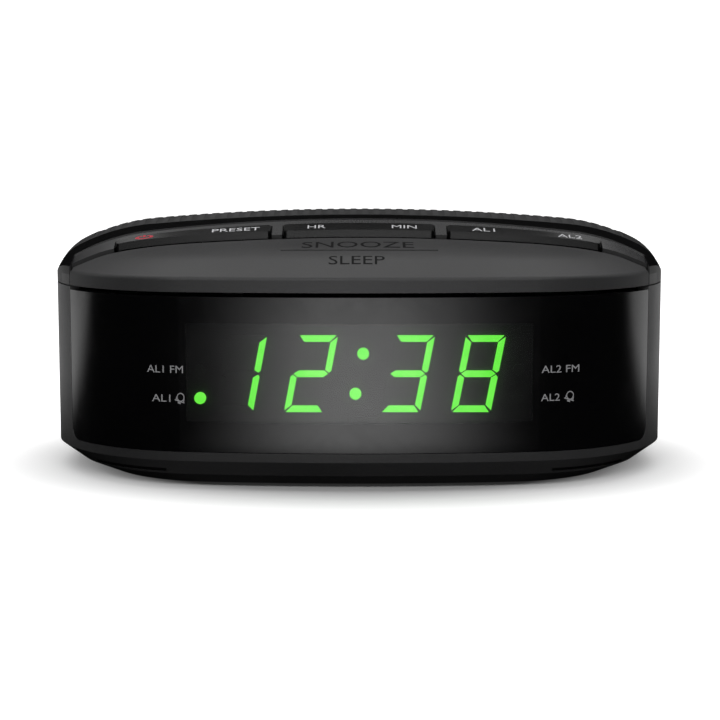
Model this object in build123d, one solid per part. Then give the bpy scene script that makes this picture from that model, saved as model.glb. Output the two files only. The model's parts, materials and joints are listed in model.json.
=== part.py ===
"""LED clock radio with a wrap-around display lens, a full-width snooze bar and a domed speaker hood.

Millimetres, +Z up. The origin is the middle of the footprint, on the surface the feet stand on.
+X is to the right of somebody facing the display, and the display faces -Y.
"""

import os
from math import atan2, cos, pi, radians, sin, sqrt, tan

from build123d import *

# ---------------------------------------------------------------- driving sizes
# Body outline, seen from above: a shallow front arc, two front corners, short straight sides,
# a rear arc and two rear corners, all tangent.
half_width = 77.5
front_y = -46.0
rear_y = 46.0
front_bulge, rear_bulge = 3.742, 2.839  # radius of the arc over the half width
front_radius = front_bulge * half_width
front_corner_radius = 40.5
rear_radius = rear_bulge * half_width
rear_corner_radius = 38.0

# Heights of the horizontal splits.
foot_height = 1.0
base_top_z = 6.9
housing_top_z = 47.2
wall = 2.2

# Base: the outline draws in under the body in two steps.
undercut_z = 3.4
undercut_side, undercut_front, undercut_rear = 6.5, 1.8, 3.0
sole_side, sole_front, sole_rear = 13.5, 4.6, 8.0
base_floor = 2.2
groove_near_x, groove_far_x = 46.5, 65.0
groove_z, groove_height, groove_depth = 4.3, 0.9, 1.1

# Display lens.
lens_bottom_z = 9.2
lens_top_z = 46.4
lens_thickness = 1.7
lens_end_depth = 22.0
lens_corner_radius = 3.0
lens_gap = 0.15
backing_wall = 1.8
window_half_width = 41.4
window_bottom_z = 16.3
window_top_z = 40.2

# LED display module.
digit_height = 18.5
digit_width = 9.5
digit_slant = 10.8
segment_width = 1.5
segment_gap = 0.45
segment_depth = 0.8
digit_pitch = 16.95
hour_minute_pitch = 23.2
digits_centre_z = 27.6
dot_radius = 1.4
colon_rise = 4.85
alarm_dot_x = 38.2
alarm_dot_z = 21.7
radio_dot_z = 28.6
module_front_depth = 6.2
module_depth = 7.0
module_margin = 1.5

# Snooze bar: a shell whose top rises from a level front crease.
bar_rear_depth = 24.0
bar_end_x = half_width - 6.6
bar_bottom_z = 47.5
bar_thickness = 1.8
bar_crease_z = 50.9
bar_crease_round = 1.0
bar_rise = [(-3.0, 48.6), (0.0, 50.9), (2.4, 52.4), (4.8, 53.8), (8.1, 55.5), (11.4, 56.6),
            (15.0, 57.5), (18.9, 58.2), (24.5, 59.1), (30.0, 59.9)]
bar_crown = 2.4e-5
bar_clearance = 0.45
bar_rear_wall = 1.2
bar_pivot_depth = 20.5
bar_pivot_z = 50.0
bar_pivot_x = 58.0
bar_lug_width = 2.4
ridge_depth = 11.8
ridge_half_length = 19.0
ridge_width = 0.8
ridge_height = 0.3

# Hood: cross-section in XZ as three tangent arcs a side, carried along a long arc front to rear.
hood_top_z = 65.2
hood_apex_depth = 48.0
hood_long_radius = 72.0
hood_arcs = [(600.0, 5.07), (50.0, 26.7), (11.6, 90.0)]
hood_wall = 1.9
arch_front_depth = 32.0
arch_front_radius = 650.0
arch_rear_depth = 35.8
arch_end_x = half_width - 6.3
arch_thickness = 1.6
quad_top_z = 50.1

# Keys and the sloping trough they sit in.
trough_front_z = 59.9
trough_rear_z = 63.1
trough_thickness = 1.6
key_front_depth = 25.5
key_rear_depth = 29.2
key_rear_radius = 950.0
key_spans = {"power_preset": (-60.5, -22.0), "hour_minute": (-18.8, 18.6), "alarm": (22.0, 60.0)}
key_thickness = 1.8
key_proud = 0.45
key_clearance = 0.35
key_swing = 1.4
key_stem_x = 11.5
key_stem_radius = 0.9
key_pivot_radius = 0.8
key_pivot_drop = 3.6
key_boss_depth = 29.2
key_board_top_z = 45.4
board_thickness = 1.2

# Tact switches: body, then the round button on top.
switch_side = 4.5
switch_body = 3.0
switch_button_radius = 1.1
switch_button = 1.0
switch_press = 0.25
switch_gap = 0.2
snooze_switch_x, snooze_switch_depth = 30.0, 9.0

# Speaker, under the grille.
speaker_depth = 57.0
speaker_radius = 21.0
baffle_top_z = 49.5
baffle_thickness = 1.6
speaker_flange = 1.2
speaker_gasket = 1.0
cone_radius = 15.0
cone_depth = 6.0
cone_thickness = 0.5
cone_travel = 0.6
coil_radius = 6.0
surround_width = 3.0
magnet_radius = 13.0
magnet_height = 5.0
plate_thickness = 2.0
basket_depth = 10.0
grille_inset = 9.5
grille_skin = 1.2
grille_pitch = 3.0
grille_slot = 1.1
slot_start_depth = 49.5
flute_width, flute_depth = 1.5, 0.12
grille_bars = 4

# Battery bay for two AAA cells.
cell_radius = 5.2
cell_length = 44.0
bay_y = 8.0
bay_wall = 1.4
bay_clearance = 1.0
contact_space = 2.6
door_thickness = 1.5
door_gap = 0.35
door_pin_radius = 0.8
hinge_barrel = 4.0

# Rear connections and fixings.
inlet_x, inlet_z = 34.0, 15.0
inlet_side = 9.0
inlet_nose_radius = 4.2
inlet_bore_radius = 3.1
inlet_pin_radius = 1.0
inlet_length = 11.0
inlet_bore_length = 9.0
aerial_x, aerial_z = -34.0, 15.0
aerial_hole_radius = 1.2
aerial_bush_radius = 2.6
board_z = 19.0
board_half_x, board_front_depth, board_rear_depth = 58.0, 22.0, 78.0
post_radius = 3.2
post_x, post_front_depth, post_rear_depth = 50.0, 27.0, 73.0
screw_shank_radius = 1.3
screw_head_radius = 2.6
screw_head = 1.6
board_screw_length = 7.0
foot_x, foot_front_depth, foot_rear_depth = 42.0, 21.0, 72.0
cover_screw_x, cover_screw_front_depth, cover_screw_rear_depth = 56.5, 22.0, 70.0
cover_screw_length = 7.6
boss_height = 4.6
foot_radius = 5.0
foot_recess = 0.6

# Parts on the main board: x, y and size of each.
header_half_x, header_height = 15.0, 2.5
chip_places = ((-24, -12, 14, 8, 1.8), (14, -8, 10, 10, 1.6), (-8, 24, 7, 5, 1.5))
capacitor_places = ((32, 20, 4.0, 10.5), (41, 12, 3.2, 8.0), (40, 24, 3.2, 8.0), (-44, 2, 2.5, 7.0))
crystal_y, crystal_length, crystal_width, crystal_height = -17.5, 9.8, 4.0, 3.4
shield_x, shield_y, shield_height = (-46, -24), (14, 30), 4.0

far = 400.0


# ---------------------------------------------------------------- helpers
def depth(distance):
    """Y of a plane this far behind the frontmost point."""
    return front_y + distance


def tangent_centres(width, front, rear, radii):
    """Centres of the front arc, front corner, rear arc and rear corner of a tangent outline."""
    front_r, corner_r, back_r, back_corner_r = radii
    front_arc_y = front + front_r
    corner_x = width - corner_r
    corner_y = front_arc_y - sqrt((front_r - corner_r) ** 2 - corner_x ** 2)
    back_arc_y = rear - back_r
    back_corner_x = width - back_corner_r
    back_corner_y = back_arc_y + sqrt((back_r - back_corner_r) ** 2 - back_corner_x ** 2)
    return front_arc_y, (corner_x, corner_y), back_arc_y, (back_corner_x, back_corner_y)


def outline(inset=0.0, side=0.0, front=0.0, rear=0.0, z=0.0):
    """Face of the body outline at height z, drawn in evenly by inset and further by the sides given."""
    shrink = min(side, front_corner_radius * 0.25)
    radii = (front_radius - front, front_corner_radius - shrink,
             rear_radius - rear, rear_corner_radius - shrink)
    front_arc_y, corner, back_arc_y, back_corner = tangent_centres(
        half_width - side, front_y + front, rear_y - rear, radii)
    front_r, corner_r, back_r, back_corner_r = (radius - inset for radius in radii)
    front_angle = atan2(corner[1] - front_arc_y, corner[0])
    back_angle = atan2(back_corner[1] - back_arc_y, back_corner[0])

    def on(centre, radius, angle):
        return (centre[0] + radius * cos(angle), centre[1] + radius * sin(angle))

    def mirrored(point):
        return (-point[0], point[1])

    a = on((0, front_arc_y), front_r, front_angle)
    a_mid = on(corner, corner_r, front_angle / 2)
    b = on(corner, corner_r, 0)
    c = on(back_corner, back_corner_r, 0)
    c_mid = on(back_corner, back_corner_r, back_angle / 2)
    d = on((0, back_arc_y), back_r, back_angle)
    edges = [
        ThreePointArc(mirrored(a), (0, front_arc_y - front_r), a),
        ThreePointArc(a, a_mid, b),
        Line(b, c),
        ThreePointArc(c, c_mid, d),
        ThreePointArc(d, (0, back_arc_y + back_r), mirrored(d)),
        ThreePointArc(mirrored(d), mirrored(c_mid), mirrored(c)),
        Line(mirrored(c), mirrored(b)),
        ThreePointArc(mirrored(b), mirrored(a_mid), mirrored(a)),
    ]
    return Pos(0, 0, z) * make_face(edges)


def prism(inset, low, high, **draws):
    """Upright solid of the outline between two heights."""
    return extrude(outline(inset, z=low, **draws), amount=high - low)


def block(x, y, z):
    """Box from three (low, high) pairs."""
    size = [pair[1] - pair[0] for pair in (x, y, z)]
    middle = [(pair[1] + pair[0]) / 2 for pair in (x, y, z)]
    return Pos(*middle) * Box(*size)


def front_of(distance, low=-10.0, high=120.0):
    return block((-far, far), (depth(-40), depth(distance)), (low, high))


def behind(distance, low=-10.0, high=120.0):
    return block((-far, far), (depth(distance), depth(far)), (low, high))


def rod(radius, length, at, axis=Axis.Z):
    """Cylinder starting at a point and running along an axis."""
    turn = {Axis.X: Rot(0, 90, 0), Axis.Y: Rot(-90, 0, 0), Axis.Z: Rot(0, 0, 0)}[axis]
    return Pos(*at) * turn * Pos(0, 0, length / 2) * Cylinder(radius, length)


def disc(radius, distance, low, high):
    """Upright cylinder that bulges to the rear as far as the distance behind the front."""
    return Pos(0, depth(distance) - radius, (low + high) / 2) * Cylinder(radius, high - low)


# ---------------------------------------------------------------- curved surfaces
def front_station(share, inward):
    """Point on the front of the outline, share -1 to 1 from left to right, drawn in by inward."""
    front_arc_y, corner, _, _ = tangent_centres(
        half_width, front_y, rear_y,
        (front_radius, front_corner_radius, rear_radius, rear_corner_radius))
    arc_angle = atan2(corner[0], front_arc_y - corner[1])
    arc_length = front_radius * arc_angle
    along = abs(share) * (arc_length + front_corner_radius * (pi / 2 - arc_angle))
    if along <= arc_length:
        angle = along / front_radius
        x = (front_radius - inward) * sin(angle)
        y = front_arc_y - (front_radius - inward) * cos(angle)
    else:
        angle = arc_angle + (along - arc_length) / front_corner_radius
        x = corner[0] + (front_corner_radius - inward) * sin(angle)
        y = corner[1] - (front_corner_radius - inward) * cos(angle)
    return (x if share >= 0 else -x), y


def above_bar(lower=0.0):
    """Solid of everything above the snooze bar's top, or above the same surface lowered."""
    stations = 24
    rows = []
    for step in range(-stations, stations + 1):
        row = []
        for inward, height in bar_rise:
            x, y = front_station(step / stations, inward)
            row.append(Vector(x, y, height - bar_crown * x * x * max(inward, 0.0) - lower))
        rows.append(row)
    return extrude(Face.make_surface_from_array_of_points(rows), amount=40, dir=(0, 0, 1))


def hood_half_points(inset):
    """Arc ends and middles of the right half of the hood's cross-section, and its straight side."""
    x, z = 0.0, hood_top_z - inset
    centre = (0.0, hood_top_z - hood_arcs[0][0])
    before = 0.0
    last_radius = hood_arcs[0][0]
    points = [(0.0, z)]
    for radius, after in hood_arcs:
        step = last_radius - radius
        centre = (centre[0] + step * sin(radians(before)), centre[1] + step * cos(radians(before)))
        for angle in ((before + after) / 2, after):
            reach = radius - inset
            points.append((centre[0] + reach * sin(radians(angle)),
                           centre[1] + reach * cos(radians(angle))))
        before, last_radius = after, radius
    # The side of the section is drawn to the body's own half width.
    stretch = (half_width - inset) / points[-1][0]
    return [(px * stretch, pz) for px, pz in points]


def hood_form(inset=0.0):
    """Solid inside the hood's outer surface, drawn in by inset, over the whole plan."""
    points = hood_half_points(inset)
    floor = hood_top_z - hood_long_radius + 8.0
    side = points[-1]
    y = depth(hood_apex_depth)

    def at(point, sign=1):
        return (sign * point[0], y, point[1])

    edges = [
        ThreePointArc(at(points[0]), at(points[1]), at(points[2])),
        ThreePointArc(at(points[2]), at(points[3]), at(points[4])),
        ThreePointArc(at(points[4]), at(points[5]), at(points[6])),
        Line(at(side), at((side[0], floor))),
        Line(at((side[0], floor)), at((side[0], floor), -1)),
        Line(at((side[0], floor), -1), at(side, -1)),
        ThreePointArc(at(points[6], -1), at(points[5], -1), at(points[4], -1)),
        ThreePointArc(at(points[4], -1), at(points[3], -1), at(points[2], -1)),
        ThreePointArc(at(points[2], -1), at(points[1], -1), at(points[0])),
    ]
    axis = Axis((0, y, hood_top_z - hood_long_radius), (1, 0, 0))
    section = make_face(edges)
    return (revolve(section, axis, 62.0) + revolve(section, axis, -62.0)).clean()


def hood_height(x, distance):
    """Height of the hood's outer surface, from its cross-section and long arc."""
    points = hood_half_points(0.0)
    z = hood_top_z
    centre = (0.0, hood_top_z - hood_arcs[0][0])
    before, last_radius = 0.0, hood_arcs[0][0]
    for index, (radius, after) in enumerate(hood_arcs):
        step = last_radius - radius
        centre = (centre[0] + step * sin(radians(before)), centre[1] + step * cos(radians(before)))
        end_x = points[2 * index + 2][0]
        if abs(x) <= end_x + 1e-6:
            reach = min(abs(x) - centre[0], radius)
            z = centre[1] + sqrt(radius ** 2 - reach ** 2)
            break
        before, last_radius = after, radius
    radius = hood_long_radius - (hood_top_z - z)
    return hood_top_z - hood_long_radius + sqrt(radius ** 2 - (distance - hood_apex_depth) ** 2)


def bar_top(x, distance):
    """Height of the snooze bar's top, at a place measured from the middle and from the front."""
    front_arc_y, corner, _, _ = tangent_centres(
        half_width, front_y, rear_y,
        (front_radius, front_corner_radius, rear_radius, rear_corner_radius))
    y = depth(distance)
    ray = atan2(corner[0], front_arc_y - corner[1])
    if atan2(abs(x), front_arc_y - y) <= ray:
        inward = front_radius - sqrt(x * x + (front_arc_y - y) ** 2)
    else:
        inward = front_corner_radius - sqrt((abs(x) - corner[0]) ** 2 + (corner[1] - y) ** 2)
    for (near, low), (beyond, high) in zip(bar_rise, bar_rise[1:]):
        if near <= inward <= beyond:
            rise = low + (high - low) * (inward - near) / (beyond - near)
            return rise - bar_crown * x * x * max(inward, 0.0)
    return bar_rise[0][1]


def arch_front(x):
    """Depth of the arch trim's front edge."""
    return arch_front_depth - (arch_front_radius - sqrt(arch_front_radius ** 2 - x * x))


def above_trough(lower=0.0):
    """Solid above the sloping trough, or above the same slope lowered."""
    rows = []
    reach = half_width - 1.0
    steps = 24
    for step in range(-steps, steps + 1):
        x = reach * step / steps
        rear = arch_front(x)
        front_z = bar_top(x, bar_rear_depth) + (trough_front_z - bar_top(0, bar_rear_depth))
        drop = hood_height(0, arch_front_depth) - trough_rear_z
        rear_z = hood_height(x, rear) - drop
        slope = (rear_z - front_z) / (rear - bar_rear_depth)
        row = []
        for distance in (bar_rear_depth - 6, bar_rear_depth, (bar_rear_depth + rear) / 2, rear, rear + 8):
            row.append(Vector(x, depth(distance), front_z + slope * (distance - bar_rear_depth) - lower))
        rows.append(row)
    return extrude(Face.make_surface_from_array_of_points(rows), amount=40, dir=(0, 0, 1))


def trough_height(x, distance):
    rear = arch_front(x)
    front_z = bar_top(x, bar_rear_depth) + (trough_front_z - bar_top(0, bar_rear_depth))
    rear_z = hood_height(x, rear) - (hood_height(0, arch_front_depth) - trough_rear_z)
    return front_z + (rear_z - front_z) * (distance - bar_rear_depth) / (rear - bar_rear_depth)


# ---------------------------------------------------------------- base
def undercut_solid(draw_in, lift):
    """The base's outer form, or its hollow when drawn in and lifted."""
    top = outline(draw_in, z=base_top_z)
    middle = outline(draw_in, side=undercut_side, front=undercut_front, rear=undercut_rear,
                     z=undercut_z + lift)
    sole = outline(draw_in, side=sole_side, front=sole_front, rear=sole_rear, z=foot_height + lift)
    return loft([sole, middle], ruled=True) + loft([middle, top], ruled=True)


bay_half_x = cell_length / 2 + contact_space + bay_clearance / 2
bay_half_y = 2 * cell_radius + bay_clearance + bay_wall
bay_top_z = foot_height + base_floor + 2 * cell_radius + bay_clearance / 2
door_half_x = bay_half_x - 3.0
door_pin_y = bay_y + bay_half_y + 2.1
door_front_y = bay_y - bay_half_y - 1.5
door_pin_z = foot_height + door_thickness + 0.2
door_pin_reach = hinge_barrel / 2 + 2.1
hinge_places = (-door_half_x * 0.6, door_half_x * 0.6)
posts = [(sign * post_x, depth(distance)) for sign in (-1, 1)
         for distance in (post_front_depth, post_rear_depth)]
cover_screws = [(sign * cover_screw_x, depth(distance)) for sign in (-1, 1)
                for distance in (cover_screw_front_depth, cover_screw_rear_depth)]
feet = [(sign * foot_x, depth(distance)) for sign in (-1, 1)
        for distance in (foot_front_depth, foot_rear_depth)]


def base_cover():
    body = undercut_solid(0.0, 0.0) - undercut_solid(wall, base_floor)
    seat = foot_height + base_floor / 2
    for x, y in posts:
        body += rod(post_radius, board_z - seat, (x, y, seat))
        body -= rod(screw_shank_radius, board_screw_length + 1, (x, y, board_z - board_screw_length - 1))
    for x, y in cover_screws:
        body += rod(post_radius, base_top_z - seat, (x, y, seat))
        body -= rod(screw_shank_radius, far, (x, y, -1))
        body -= rod(screw_head_radius + 0.3, screw_head + 1.0, (x, y, foot_height - 1.0))
    for x, y in feet:
        body -= rod(foot_radius + 0.1, foot_recess, (x, y, foot_height))
    across = (-door_half_x - door_gap, door_half_x + door_gap)
    body -= block(across, (door_front_y - door_gap, door_pin_y + 1.7 + door_gap), (0, base_top_z))
    for x in hinge_places:
        for side in (-1, 1):
            near = x + side * (hinge_barrel / 2 + 0.3)
            pair = sorted((near, near + side * 1.8))
            body += block(pair, (door_pin_y - 1.3, door_pin_y + 1.7 + door_gap),
                          (door_pin_z - 1.4, base_top_z - 0.8))
        body += block((x - hinge_barrel, x + hinge_barrel),
                      (door_pin_y + 1.7 + door_gap - 0.2, door_pin_y + 3.2),
                      (foot_height + base_floor / 2, base_top_z - 0.8))
        body -= rod(door_pin_radius, 2 * door_pin_reach, (x - door_pin_reach, door_pin_y, door_pin_z), Axis.X)
    # A long level groove round each front corner of the undercut.
    rim = undercut_solid(0.0, 0.0) - undercut_solid(groove_depth, 0.0)
    for sign in (-1, 1):
        body -= rim & block(sorted((sign * groove_near_x, sign * groove_far_x)), (front_y, 0),
                            (groove_z - groove_height / 2, groove_z + groove_height / 2))
    return body


def battery_well():
    low = foot_height + base_floor
    outer = block((-bay_half_x, bay_half_x), (bay_y - bay_half_y, bay_y + bay_half_y),
                  (low, bay_top_z + bay_wall))
    inner = block((-bay_half_x + bay_wall, bay_half_x - bay_wall),
                  (bay_y - bay_half_y + bay_wall, bay_y + bay_half_y - bay_wall), (0, bay_top_z))
    return outer - inner


def battery_door():
    low, high = foot_height, foot_height + door_thickness
    door = block((-door_half_x, door_half_x), (door_front_y, door_pin_y - 2.0), (low, high))
    for x in hinge_places:
        reach = (x - hinge_barrel / 2, x + hinge_barrel / 2)
        door += block(reach, (door_pin_y - 2.2, door_pin_y), (low, high))
        door += rod(door_pin_radius + 0.9, hinge_barrel, (reach[0], door_pin_y, door_pin_z), Axis.X)
        door -= rod(door_pin_radius + 0.1, far, (-far / 2, door_pin_y, door_pin_z), Axis.X)
    # Finger notch and the grip lines beside it.
    door -= block((-5, 5), (door_front_y - 1, door_front_y + 1.2), (low - 1, low + 0.7))
    for line in range(3):
        y = door_front_y + 2.6 + 1.4 * line
        door -= block((-5, 5), (y, y + 0.6), (low - 1, low + 0.4))
    return door


def door_pins():
    return [rod(door_pin_radius, 2 * door_pin_reach, (x - door_pin_reach, door_pin_y, door_pin_z), Axis.X)
            for x in hinge_places]


cell_z = bay_top_z - cell_radius - 0.1
cell_places = [bay_y - cell_radius - 0.1, bay_y + cell_radius + 0.1]


def battery_cells():
    cells = []
    for y, sign in zip(cell_places, (1, -1)):
        start = (-cell_length / 2, y, cell_z)
        cell = rod(cell_radius, cell_length - 1.0, start if sign > 0 else (start[0] + 1.0, y, cell_z), Axis.X)
        nub_x = cell_length / 2 - 1.0 if sign > 0 else -cell_length / 2
        cells.append(cell + rod(1.9, 1.0, (nub_x, y, cell_z), Axis.X))
    return cells


def battery_contacts():
    """Flat plates at both ends, each cell with a conical spring on its flat end."""
    inner = bay_half_x - bay_wall
    pieces = []
    for y, sign in zip(cell_places, (-1, 1)):
        plate = block(sorted((sign * inner, sign * (inner - 0.4))), (y - 4, y + 4), (cell_z - 4, cell_z + 4))
        other = Pos(-sign * (2 * inner - 0.4), 0, 0) * plate
        room = inner - 0.4 - cell_length / 2
        turns = 3
        for turn in range(turns):
            x = sign * (inner - 0.4 - room * (turn + 0.5) / turns)
            ring = Pos(x, y, cell_z) * Rot(0, 90, 0) * Torus(3.4 - 0.5 * turn, room / turns / 2)
            plate += ring
        pieces += [plate, other]
    return pieces


def rubber_feet():
    return [rod(foot_radius, foot_height + foot_recess, (x, y, 0)) for x, y in feet]


def screws(places, top_z, length, head_up):
    """Pan-head screws; the head is above or below the clamped face."""
    made = []
    for x, y in places:
        if head_up:
            made.append(rod(screw_head_radius, screw_head, (x, y, top_z))
                        + rod(screw_shank_radius, length, (x, y, top_z - length)))
        else:
            made.append(rod(screw_head_radius, screw_head, (x, y, top_z - screw_head))
                        + rod(screw_shank_radius, length, (x, y, top_z)))
    return made


# ---------------------------------------------------------------- housing and display
def lens_region(grow=0.0, top=lens_top_z):
    """Side view of the lens: a rectangle with round lower rear corners, across the whole width."""
    low, high = lens_bottom_z - grow, top
    middle = (low + high) / 2
    region = block((-far, far), (depth(-5), depth(lens_end_depth + grow)), (low, high))
    corners = region.edges().filter_by(Axis.X).sort_by(Axis.Y)[-2:]
    return fillet([edge for edge in corners if edge.center().Z < middle], lens_corner_radius + grow)


def window_block(grow, near, reach):
    return block((-window_half_width - grow, window_half_width + grow), (depth(near), depth(reach)),
                 (window_bottom_z - grow, window_top_z + grow))


def lower_housing():
    body = prism(0, base_top_z, housing_top_z) - prism(wall, base_top_z, housing_top_z)
    back = lens_thickness + 0.05
    body -= lens_region(lens_gap, 100) - prism(back, 0, 100)
    backing = prism(back, base_top_z, lens_top_z) - prism(back + backing_wall, base_top_z, lens_top_z)
    body += backing & front_of(lens_end_depth + 4.0)
    body -= window_block(module_margin + 0.6, -5, 20)
    # Nothing stands above the lens, so the bar's lip has room to go down.
    body -= front_of(lens_end_depth, lens_top_z)
    body -= rod(inlet_nose_radius + 0.15, 20, (inlet_x, rear_y - 12, inlet_z), Axis.Y)
    body -= rod(aerial_bush_radius, 20, (aerial_x, rear_y - 12, aerial_z), Axis.Y)
    # Bosses for the cover's screws, each on a rib to the side wall.
    inside = prism(wall - 0.1, base_top_z, base_top_z + boss_height)
    for x, y in cover_screws:
        rib = block(sorted((x, x * far)), (y - 1.0, y + 1.0), (base_top_z, base_top_z + boss_height)) & inside
        body += rib + rod(post_radius, boss_height, (x, y, base_top_z))
        body -= rod(screw_shank_radius, boss_height - 1.0, (x, y, base_top_z))
    return body


def lens_shell():
    ring = prism(0, lens_bottom_z, lens_top_z) - prism(lens_thickness, lens_bottom_z, lens_top_z)
    return ring & lens_region()


def display_lens():
    return lens_shell() - window_block(0, -5, 20)


def display_window():
    return lens_shell() & window_block(0, -5, 20)


module_half_width = window_half_width + module_margin


def led_module():
    body = block((-module_half_width, module_half_width),
                 (depth(module_front_depth), depth(module_front_depth + module_depth)),
                 (window_bottom_z - module_margin, window_top_z + module_margin))
    return body


def display_board():
    near = module_front_depth + module_depth
    return block((-50, 50), (depth(near), depth(near + board_thickness)), (12.0, 43.4))


def segment_outline(name):
    """Corner points of one mitred segment in the digit's own upright frame, from its middle."""
    half_w, half_h, t = digit_width / 2, digit_height / 2, segment_width
    g = segment_gap / 2
    across = {"top": half_h, "middle": t / 2, "bottom": -half_h + t}
    if name == "middle":
        return [(-half_w + g + t * 0.3, 0), (-half_w + t + g, t / 2), (half_w - t - g, t / 2),
                (half_w - g - t * 0.3, 0), (half_w - t - g, -t / 2), (-half_w + t + g, -t / 2)]
    if name in ("top", "bottom"):
        sign = 1 if name == "top" else -1
        high, low = sign * half_h, sign * (half_h - t)
        return [(-half_w + g * 2, high), (half_w - g * 2, high),
                (half_w - t - g, low), (-half_w + t + g, low)]
    sign = -1 if name.endswith("left") else 1
    up = 1 if name.startswith("upper") else -1
    outer, inner = sign * half_w, sign * (half_w - t)
    return [(outer, up * (half_h - g * 2)), (inner, up * (half_h - t - g)),
            (inner, up * (t / 2 + g)), (sign * (half_w - t * 0.3), up * g * 1.4),
            (outer, up * (g * 1.4 + t * 0.3))]


all_segments = ("top", "middle", "bottom", "upper_left", "upper_right", "lower_left", "lower_right")
figures = {
    1: ("upper_right", "lower_right"),
    2: ("top", "upper_right", "middle", "lower_left", "bottom"),
    3: ("top", "upper_right", "middle", "lower_right", "bottom"),
    8: all_segments,
}
shown = (1, 2, 3, 8)
digit_centres = [-hour_minute_pitch / 2 - digit_pitch, -hour_minute_pitch / 2,
                 hour_minute_pitch / 2, hour_minute_pitch / 2 + digit_pitch]


def upright_plate(points, thickness, near):
    """Plate standing in the XZ plane, from its front face's points."""
    y = depth(near)
    corners = [Vector(x, y, z) for x, z in points]
    face = Face(Wire([Line(corners[i], corners[(i + 1) % len(corners)]) for i in range(len(corners))]))
    return extrude(face, amount=thickness, dir=(0, 1, 0))


def digit_segments(place, names):
    lean = tan(radians(digit_slant))
    made = []
    for name in names:
        points = [(digit_centres[place] + x + z * lean, digits_centre_z + z)
                  for x, z in segment_outline(name)]
        made.append(upright_plate(points, segment_depth, module_front_depth - segment_depth))
    return made


def unlit_segments():
    made = []
    for place, figure in enumerate(shown):
        made += digit_segments(place, [name for name in all_segments if name not in figures[figure]])
    return made


def dot(x, z):
    return rod(dot_radius, segment_depth, (x, depth(module_front_depth - segment_depth), z), Axis.Y)


def lit_dots():
    lean = tan(radians(digit_slant))
    colon = [dot(sign * colon_rise * lean, digits_centre_z + sign * colon_rise) for sign in (-1, 1)]
    return colon + [dot(-alarm_dot_x, alarm_dot_z)]


def unlit_dots():
    return [dot(-alarm_dot_x, radio_dot_z), dot(alarm_dot_x, alarm_dot_z), dot(alarm_dot_x, radio_dot_z)]


# ---------------------------------------------------------------- snooze bar
bar_pivot_y = depth(bar_pivot_depth)


def bar_corners(clear):
    """Space outside the bar's two ends, where the case comes forward to the lens's ends."""
    return [block(sorted((sign * (bar_end_x + clear), sign * far)),
                  (depth(lens_end_depth + clear), depth(bar_rear_depth + 2.0)), (0, 120)) for sign in (-1, 1)]


def snooze_bar():
    outer = (prism(0, bar_bottom_z, 80) & front_of(bar_rear_depth)) - above_bar() - bar_corners(0.0)
    crease = [edge for edge in outer.edges()
              if abs(edge.center().Z - bar_crease_z) < 0.9 and edge.center().Y < depth(bar_rear_depth - 4)]
    outer = fillet(crease, bar_crease_round)
    inner = prism(bar_thickness, 0, 80) & front_of(bar_rear_depth - bar_rear_wall)
    inner -= above_bar(bar_thickness)
    inner -= [Pos(-sign * bar_rear_wall, -bar_rear_wall, 0) * corner
              for sign, corner in zip((-1, 1), bar_corners(0.0))]
    ridge = (prism(ridge_depth, bar_bottom_z + 6, 80) - prism(ridge_depth + ridge_width, 0, 90))
    ridge &= block((-ridge_half_length, ridge_half_length), (front_y, depth(bar_rear_depth)), (50, 80))
    ridge -= above_bar(-ridge_height)
    body = (outer + ridge) - inner
    for sign in (-1, 1):
        middle = sign * bar_pivot_x
        # Two lugs either side of the carrier's ear, hanging from the underside.
        for side in (-1, 1):
            near = middle + side * (bar_lug_width / 2 + 0.3)
            pair = sorted((near, near + side * 1.6))
            lug = block(pair, (bar_pivot_y - 1.8, bar_pivot_y + 1.8), (bar_pivot_z - 1.8, 80))
            body += (lug - above_bar(0.6)) & prism(0.6, 0, 80)
        # Room for the ear in the rear wall.
        body -= block((middle - bar_lug_width / 2 - 0.3, middle + bar_lug_width / 2 + 0.3),
                      (depth(bar_rear_depth - 1.4), depth(bar_rear_depth + 1)), (0, bar_pivot_z + 2.6))
        body -= rod(key_pivot_radius + 0.1, 12, (middle - 6, bar_pivot_y, bar_pivot_z), Axis.X)
        stem_top = bar_top(snooze_switch_x, snooze_switch_depth) - 1.0
        stem_low = switch_top_z + switch_gap
        body += rod(1.2, stem_top - stem_low, (sign * snooze_switch_x, depth(snooze_switch_depth), stem_low))
    return body


def bar_pins():
    reach = bar_lug_width / 2 + 0.3 + 1.6
    return [rod(key_pivot_radius, 2 * reach, (sign * bar_pivot_x - reach, bar_pivot_y, bar_pivot_z), Axis.X)
            for sign in (-1, 1)]


# ---------------------------------------------------------------- keys, trough and switches
switch_top_z = key_board_top_z + switch_body + switch_button
key_middles = {name: (low + high) / 2 for name, (low, high) in key_spans.items()}
key_middle_depth = (key_front_depth + key_rear_depth) / 2


def key_plan(name, grow, front, low=30, high=90):
    start, end = key_spans[name]
    plan = block((start - grow, end + grow), (depth(front), depth(arch_front_depth)), (low, high))
    plan &= disc(key_rear_radius, key_rear_depth + grow, low, high)
    return plan


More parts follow.
